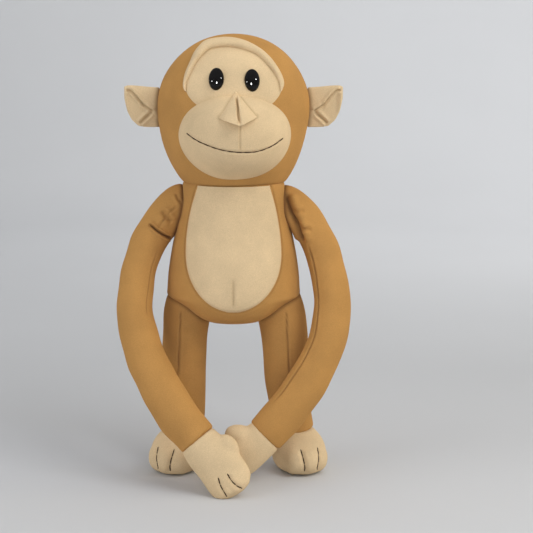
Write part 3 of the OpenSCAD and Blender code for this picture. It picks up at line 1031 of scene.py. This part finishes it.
def sewn_thread(name, grooves):
    """A thread sewn along each groove: a thin tube that narrows and sinks where each stitch goes down."""
    a = np.linspace(0, 2 * math.pi, THREAD_SIDES, endpoint=False)[:, None]
    parts = []
    for path, normal in grooves:
        way = unit(np.gradient(path, axis=0))
        across = unit(np.cross(way, normal))
        up = np.cross(across, way)
        reach = np.concatenate([[0], np.cumsum(np.linalg.norm(np.diff(path, axis=0), axis=1))])
        turns = max(1, round(reach[-1] / STITCH)) * math.pi / reach[-1]
        full = np.abs(np.sin(reach * turns)) ** 0.35
        rings = []
        for p, w, u, f in zip(path, across, up, full):
            middle = p + u * THREAD_RADIUS * (0.9 * f - 0.3)
            rings.append(middle + THREAD_RADIUS * (0.35 + 0.65 * f) * (w * np.cos(a) + u * np.sin(a)))
        parts.append(loft("thread", rings))
    return join(name, parts)


# ---- head details ----

uneven(head, 0.4, 60, 5)
dress(head, TAN_VELOUR, "tan_cloth", "head", "head_cover", "head_filling")
face = make_face()
subdivide(face, 1)
brow = make_brow()
subdivide(brow, 2)
uneven(brow, 0.25, 22, 8)
shade_seam(face, brow, 1.5, 0.3)
dress(face, BEIGE_VELOUR, "beige_cloth", "head", "face_panel")
dress(brow, BEIGE_VELOUR, "beige_cloth", "head", "brow_roll")

PHILTRUM_X = 5.5
uneven(muzzle, 0.3, 40, 9)
crease(muzzle, [[PHILTRUM_X, -80, 322], [PHILTRUM_X, -84, 310], [PHILTRUM_X, -80, 298]], 0.5, 0.8,
       lip=0.5, fade=0.1, dark=0.3)
MOUTH = [
    [-39.4, -58, 311.8], [-32.4, -66, 307.2], [-23.6, -73, 303.3], [-12.9, -78, 299.6], [-0.9, -80, 297.2],
    [9.6, -79, 296.5], [19, -75, 297], [27.3, -70, 299.6], [35, -63, 303.5], [41.1, -56, 307.6],
]
mouth_groove = crease(muzzle, MOUTH, 0.5, 1.2, lip=0.4, fade=0.06, dark=0.2)
muzzle_surface = Surface(muzzle)
mouth = sewn_thread("mouth_stitches", [mouth_groove])
dress(mouth, THREAD, "thread", "head", "mouth_thread")

# The nose is a padded triangle: its apex, its two lower corners and the tip between them, as x, z
NOSE_APEX = np.array([1.8, 347.0])
NOSE_LEFT = np.array([-12.3, 325.6])
NOSE_RIGHT = np.array([19.8, 326.2])
NOSE_TIP = np.array([5.4, 319.6])
NOSE_OUT = 10.5
# How deep the nose's own edge lies in the muzzle
NOSE_SINK = 0.4
# Places across the nose, from its left side at -1 to its right side at 1
NOSE_ACROSS = np.linspace(-1, 1, 21)
# Rows that turn in under the lower edge: share of the padding there, and height over the edge
NOSE_UNDER = [(0.8, -0.1), (0.45, 0.6), (-0.1, 2.0)]


def on_muzzle(flat, lift):
    """A point in front of the muzzle, from its x, z and how far it stands out."""
    place, _ = muzzle_surface.front(flat[0], flat[1])
    return np.array([flat[0], place[1] - lift, flat[1]])


def nose_low(s):
    """The lower edge at s, as x, z."""
    corner = NOSE_LEFT if s < 0 else NOSE_RIGHT
    return NOSE_TIP * (1 - abs(s)) + corner * abs(s)


def nose_padding(s):
    """How far the padding stands out at s along the lower edge."""
    return NOSE_OUT * (1 - abs(s) ** 2.6) ** 0.7


def make_nose():
    """Two padded lobes that rise from the apex to a sharp lower edge, with a crease down between them."""
    rows = []
    for t in np.linspace(0, 1, 15):
        row = []
        for s in NOSE_ACROSS:
            fold = 1 - 0.26 * math.exp(-((s / 0.11) ** 2)) * min(1, 4 * t) * (1 - 0.5 * t)
            flat = NOSE_APEX * (1 - t) + nose_low(s) * t
            row.append(on_muzzle(flat, nose_padding(s) * t**0.6 * fold - NOSE_SINK))
        rows.append(row)
    for share, height in NOSE_UNDER:
        row = []
        for s in NOSE_ACROSS:
            row.append(on_muzzle(nose_low(s) + [0, height], nose_padding(s) * share - NOSE_SINK))
        rows.append(row)
    points = np.array(rows).reshape(-1, 3)
    return facing_front(new_object("nose_cloth", points, grid_faces(len(rows), len(NOSE_ACROSS))))


nose = make_nose()
subdivide(nose, 2)
nose_surface = Surface(nose)
ridge = [nose_surface.front(x, z)[0] for x, z in ((2.3, 343), (3.6, 331), (5.2, 320.5))]
crease(nose, ridge, 1.4, 0.9, lip=0.3, fade=0.18, dark=0.6)
shade_seam(muzzle, nose, 1.3, 0.35)
dress(nose, BEIGE_VELOUR, "beige_cloth", "head", "nose")
dress(muzzle, BEIGE_VELOUR, "beige_cloth", "head", "muzzle_cover", "muzzle_filling")

# ---- eyes ----

EYE_RX, EYE_RZ, EYE_DEEP = 6.6, 9.7, 4.6
# The middle of each eye, as x, z
EYES = {"left": (-14.4, 356.5), "right": (15.6, 355.5)}
face_surface = Surface(face)


def make_eye(side):
    """A polished oval dome that faces out from the face and straight ahead, halfway between the two."""
    place, normal = face_surface.front(*EYES[side])
    out = unit(normal * 0.55 + [0, -0.45, 0])
    up = unit(np.array([0, 0, 1]) - out * out[2])
    right = np.cross(up, -out)
    stations = [[0, 0, math.sin(a), math.cos(a), math.cos(a)] for a in np.linspace(-1.54, 1.54, 22)]
    rings = np.array(level_rings(stations, 32))
    shaped = (
        rings[..., :1] * EYE_RX * right
        + rings[..., 1:2] * EYE_DEEP * -out
        + rings[..., 2:] * EYE_RZ * up
    )
    obj = loft(f"eye_{side}_dome", shaped + place + out * 0.6)
    subdivide(obj, 1)
    dress(obj, EYE_BLACK, "eye", "head", f"eye_{side}")
    return obj


glint_surface = Surface(make_eye("left"))
make_eye("right")

# ---- ears ----

EAR_LOW, EAR_HIGH = node_box("ear_right")
EAR_MIDDLE = (EAR_LOW[2] + EAR_HIGH[2]) / 2
# Heights of an ear are from EAR_MIDDLE. Its outline is [x, lowest, highest], from the root to the outer edge
EAR_OUTLINE = [
    [64.5, -17.5, 17.5], [76, -17.5, 18.2], [84, -16.5, 19], [90, -11, 19.4], [94, -3, 19.2], [96.3, 8, 18],
]
# The top outer corner, where the fold starts, and the fold's slope towards the root
EAR_CORNER_X = 96
EAR_CORNER_HEIGHT = 19.5
EAR_SLOPE = 0.98
# The crease along the fold, and the one from its lower end to the bottom edge, as [x, y, height]
EAR_FOLD = [[94, -5, 16], [87, -6, 9], [79, -5, 1], [70, -4, -4]]
EAR_TUCK = [[71, -4, -4], [77, -5, -9], [83, -4, -15]]


def ear_ring(x, low, high, thick):
    """A ring round the pocket. The part of its front below the fold lies deeper."""
    ring = []
    for a in np.linspace(0, 2 * math.pi, 40, endpoint=False):
        c, s = math.cos(a), math.sin(a)
        z = (low + high) / 2 + (high - low) / 2 * math.copysign(abs(c) ** 0.75, c)
        y = thick * math.copysign(abs(s) ** 0.8, s)
        if s < 0:
            fold = EAR_CORNER_HEIGHT - (EAR_CORNER_X - x) * EAR_SLOPE
            y += 2.6 * step(fold - z, -1.0, 1.2) * step(EAR_CORNER_X - x, 0, 6) * abs(s)
        ring.append([x, y, EAR_MIDDLE + z])
    return ring


def on_ear(line, sign):
    """A line of an ear on the side that sign gives, at its real height."""
    return np.array(line) * [sign, 1, 1] + [0, 0, EAR_MIDDLE]


def make_ear(side, sign):
    """A flat pocket. Its front is folded in two, along a line from its top outer corner to its root."""
    table = np.array(EAR_OUTLINE)
    rows = []
    for t in np.linspace(0, 1, 30):
        x = table[0, 0] + (table[-1, 0] - table[0, 0]) * math.sin(t * math.pi / 2) ** 0.9
        low = np.interp(x, table[:, 0], table[:, 1])
        high = np.interp(x, table[:, 0], table[:, 2])
        thick = 1.4 + 3.4 * math.sin(math.pi * min(1, 0.12 + t * 0.9)) ** 0.7
        rows.append(ear_ring(x, low, high, thick))
    obj = loft(f"ear_{side}_cloth", np.array(rows) * [sign, 1, 1])
    subdivide(obj, 2)
    crease(obj, on_ear(EAR_FOLD, sign), 1.5, 1.0, lip=0.9, fade=0.06, dark=0.5)
    crease(obj, on_ear(EAR_TUCK, sign), 1.4, 1.2, lip=0.7, fade=0.08, dark=0.45)
    shade_seam(obj, head, 2.6, 0.95)
    dress(obj, BEIGE_VELOUR, "beige_cloth", f"ear_flap_{side}", f"ear_{side}")


make_ear("left", -1)
make_ear("right", 1)

# ---- hands and feet ----

# The two stitched lines between the fingers of the left hand
FINGER_LINES = [
    [[-13.6, -95, 19.8], [-12, -97, 13], [-8.5, -98, 6.5], [-5.5, -96, 2]],
    [[-5.4, -95, 23.6], [-2, -97, 18], [3, -97, 13], [8.3, -95, 9.6]],
]

hand = make_hand("left", HAND_LEFT, THUMB_LEFT)
grooves = [crease(hand, line, 0.9, 1.4, lip=0.8, fade=0.15, dark=0.2) for line in FINGER_LINES]
fingers = sewn_thread("finger_stitches", grooves)
dress(hand, BEIGE_VELOUR, "beige_cloth", "arm_left", "hand_left_cover", "hand_left_filling")
dress(fingers, THREAD, "thread", "arm_left", "finger_thread_left")
hand = make_hand("right", HAND_RIGHT, THUMB_RIGHT)
dress(hand, BEIGE_VELOUR, "beige_cloth", "arm_right", "hand_right_cover", "hand_right_filling")

for side, ankle_x, toes_out in (("left", -46, -27), ("right", 56, 22)):
    foot = make_foot(side, ankle_x, toes_out)
    grooves = []
    for k in (-TOE_GAP, TOE_GAP):
        line = turned_foot([[k, y, z] for y, z in TOE_LINE], ankle_x, toes_out)
        grooves.append(crease(foot, line, 1.0, 1.6, lip=0.6, fade=0.12, dark=0.2))
    toes = sewn_thread(f"toe_stitches_{side}", grooves)
    dress(foot, BEIGE_VELOUR, "beige_cloth", f"leg_{side}", f"foot_{side}_cover", f"foot_{side}_filling")
    dress(toes, THREAD, "thread", f"leg_{side}", f"toe_thread_{side}")

# ---- the lock washers behind the eyes keep their CAD shapes ----

for name, obj in frame["nodes"].items():
    if "washer" in name:
        obj.data.materials.clear()
        obj.data.materials.append(WASHER)

# ---- floor and light ----

# In metres, where the floor starts to curve up, and how round it does
SWEEP_START = 1.6
SWEEP_RADIUS = 1.4
SWEEP_SIDES = 96


def make_floor():
    """A pale floor that curves up all round into a backdrop of the same paper. Lengths are in metres."""
    s = Shader("pale_floor")
    tone = s.ramp(s.noise(2, 2), [(0.3, (0.585, 0.59, 0.60)), (0.7, (0.605, 0.61, 0.62))])
    s.link(tone, s.base.inputs["Base Color"])
    s.base.inputs["Specular IOR Level"].default_value = 0.0
    profile = [(0.4, 0.0), (1.0, 0.0), (SWEEP_START, 0.0)]
    for a in np.linspace(0, math.pi / 2, 40)[1:]:
        profile.append((SWEEP_START + SWEEP_RADIUS * math.sin(a), SWEEP_RADIUS * (1 - math.cos(a))))
    turns = np.linspace(0, 2 * math.pi, SWEEP_SIDES, endpoint=False)
    points = [(r * math.cos(t), r * math.sin(t), z) for r, z in profile for t in turns]
    faces = [tuple(range(SWEEP_SIDES))]
    for i in range(len(profile) - 1):
        for j in range(SWEEP_SIDES):
            a, b = i * SWEEP_SIDES + j, i * SWEEP_SIDES + (j + 1) % SWEEP_SIDES
            faces.append((a, a + SWEEP_SIDES, b + SWEEP_SIDES, b))
    mesh = bpy.data.meshes.new("floor")
    mesh.from_pydata(points, [], faces)
    mesh.shade_smooth()
    mesh.materials.append(s.material)
    floor = bpy.data.objects.new("floor", mesh)
    bpy.context.scene.collection.objects.link(floor)


def make_light(name, place, target, size, power, colour=(1, 1, 1)):
    """A soft area light that lights the cloth and is not mirrored by the eyes."""
    data = bpy.data.lights.new(name, "AREA")
    data.size = size
    data.energy = power
    data.color = colour
    light = bpy.data.objects.new(name, data)
    light.location = place
    light.rotation_euler = (Vector(target) - Vector(place)).to_track_quat("-Z", "Y").to_euler()
    light.visible_glossy = False
    bpy.context.scene.collection.objects.link(light)
    return light


GLINT_DISTANCE = 1.2


def make_glint(name, x, z, size, power):
    """A small light that is seen only as a glint in the eyes, at x, z on the left one."""
    place, normal = glint_surface.front(x, z)
    seen_from = np.array(bpy.context.scene.camera.location)
    spot = to_metres(place)
    sight = unit(spot - seen_from)
    bounce = sight - 2 * (sight @ normal) * normal
    light = make_light(name, tuple(spot + bounce * GLINT_DISTANCE), tuple(spot), size, power)
    light.data.shape = "DISK"
    light.visible_glossy = True
    light.visible_diffuse = False


make_floor()
make_light("key", (1.0, -0.9, 1.45), (0, 0, 0.2), 0.9, 13.5)
make_light("fill", (-1.4, -0.8, 0.6), (0, 0, 0.2), 1.2, 9)
make_light("low", (0.25, -1.5, 0.65), (0, 0, 0.1), 0.6, 2.6)
make_light("side", (1.5, -0.3, 0.75), (0, 0, 0.28), 0.8, 5.5, (1, 0.9, 0.68))
make_light("top", (0.2, 0.2, 1.8), (0, 0, 0.2), 1.2, 4)
make_light("backdrop", (0.7, 0.9, 1.7), (0.9, 3.0, 1.0), 1.2, 27)
make_glint("glint_low", -14.2, 353.6, 0.24, 22)
make_glint("glint_right", -10.6, 357.6, 0.12, 7)
make_glint("glint_left", -18.2, 355.2, 0.12, 5)
world = bpy.data.worlds.new("studio")
bpy.context.scene.world = world
world.use_nodes = True
world.node_tree.nodes["Background"].inputs["Color"].default_value = (0.78, 0.80, 0.83, 1)
world.node_tree.nodes["Background"].inputs["Strength"].default_value = 0.52
bpy.context.scene.view_settings.view_transform = "Standard"
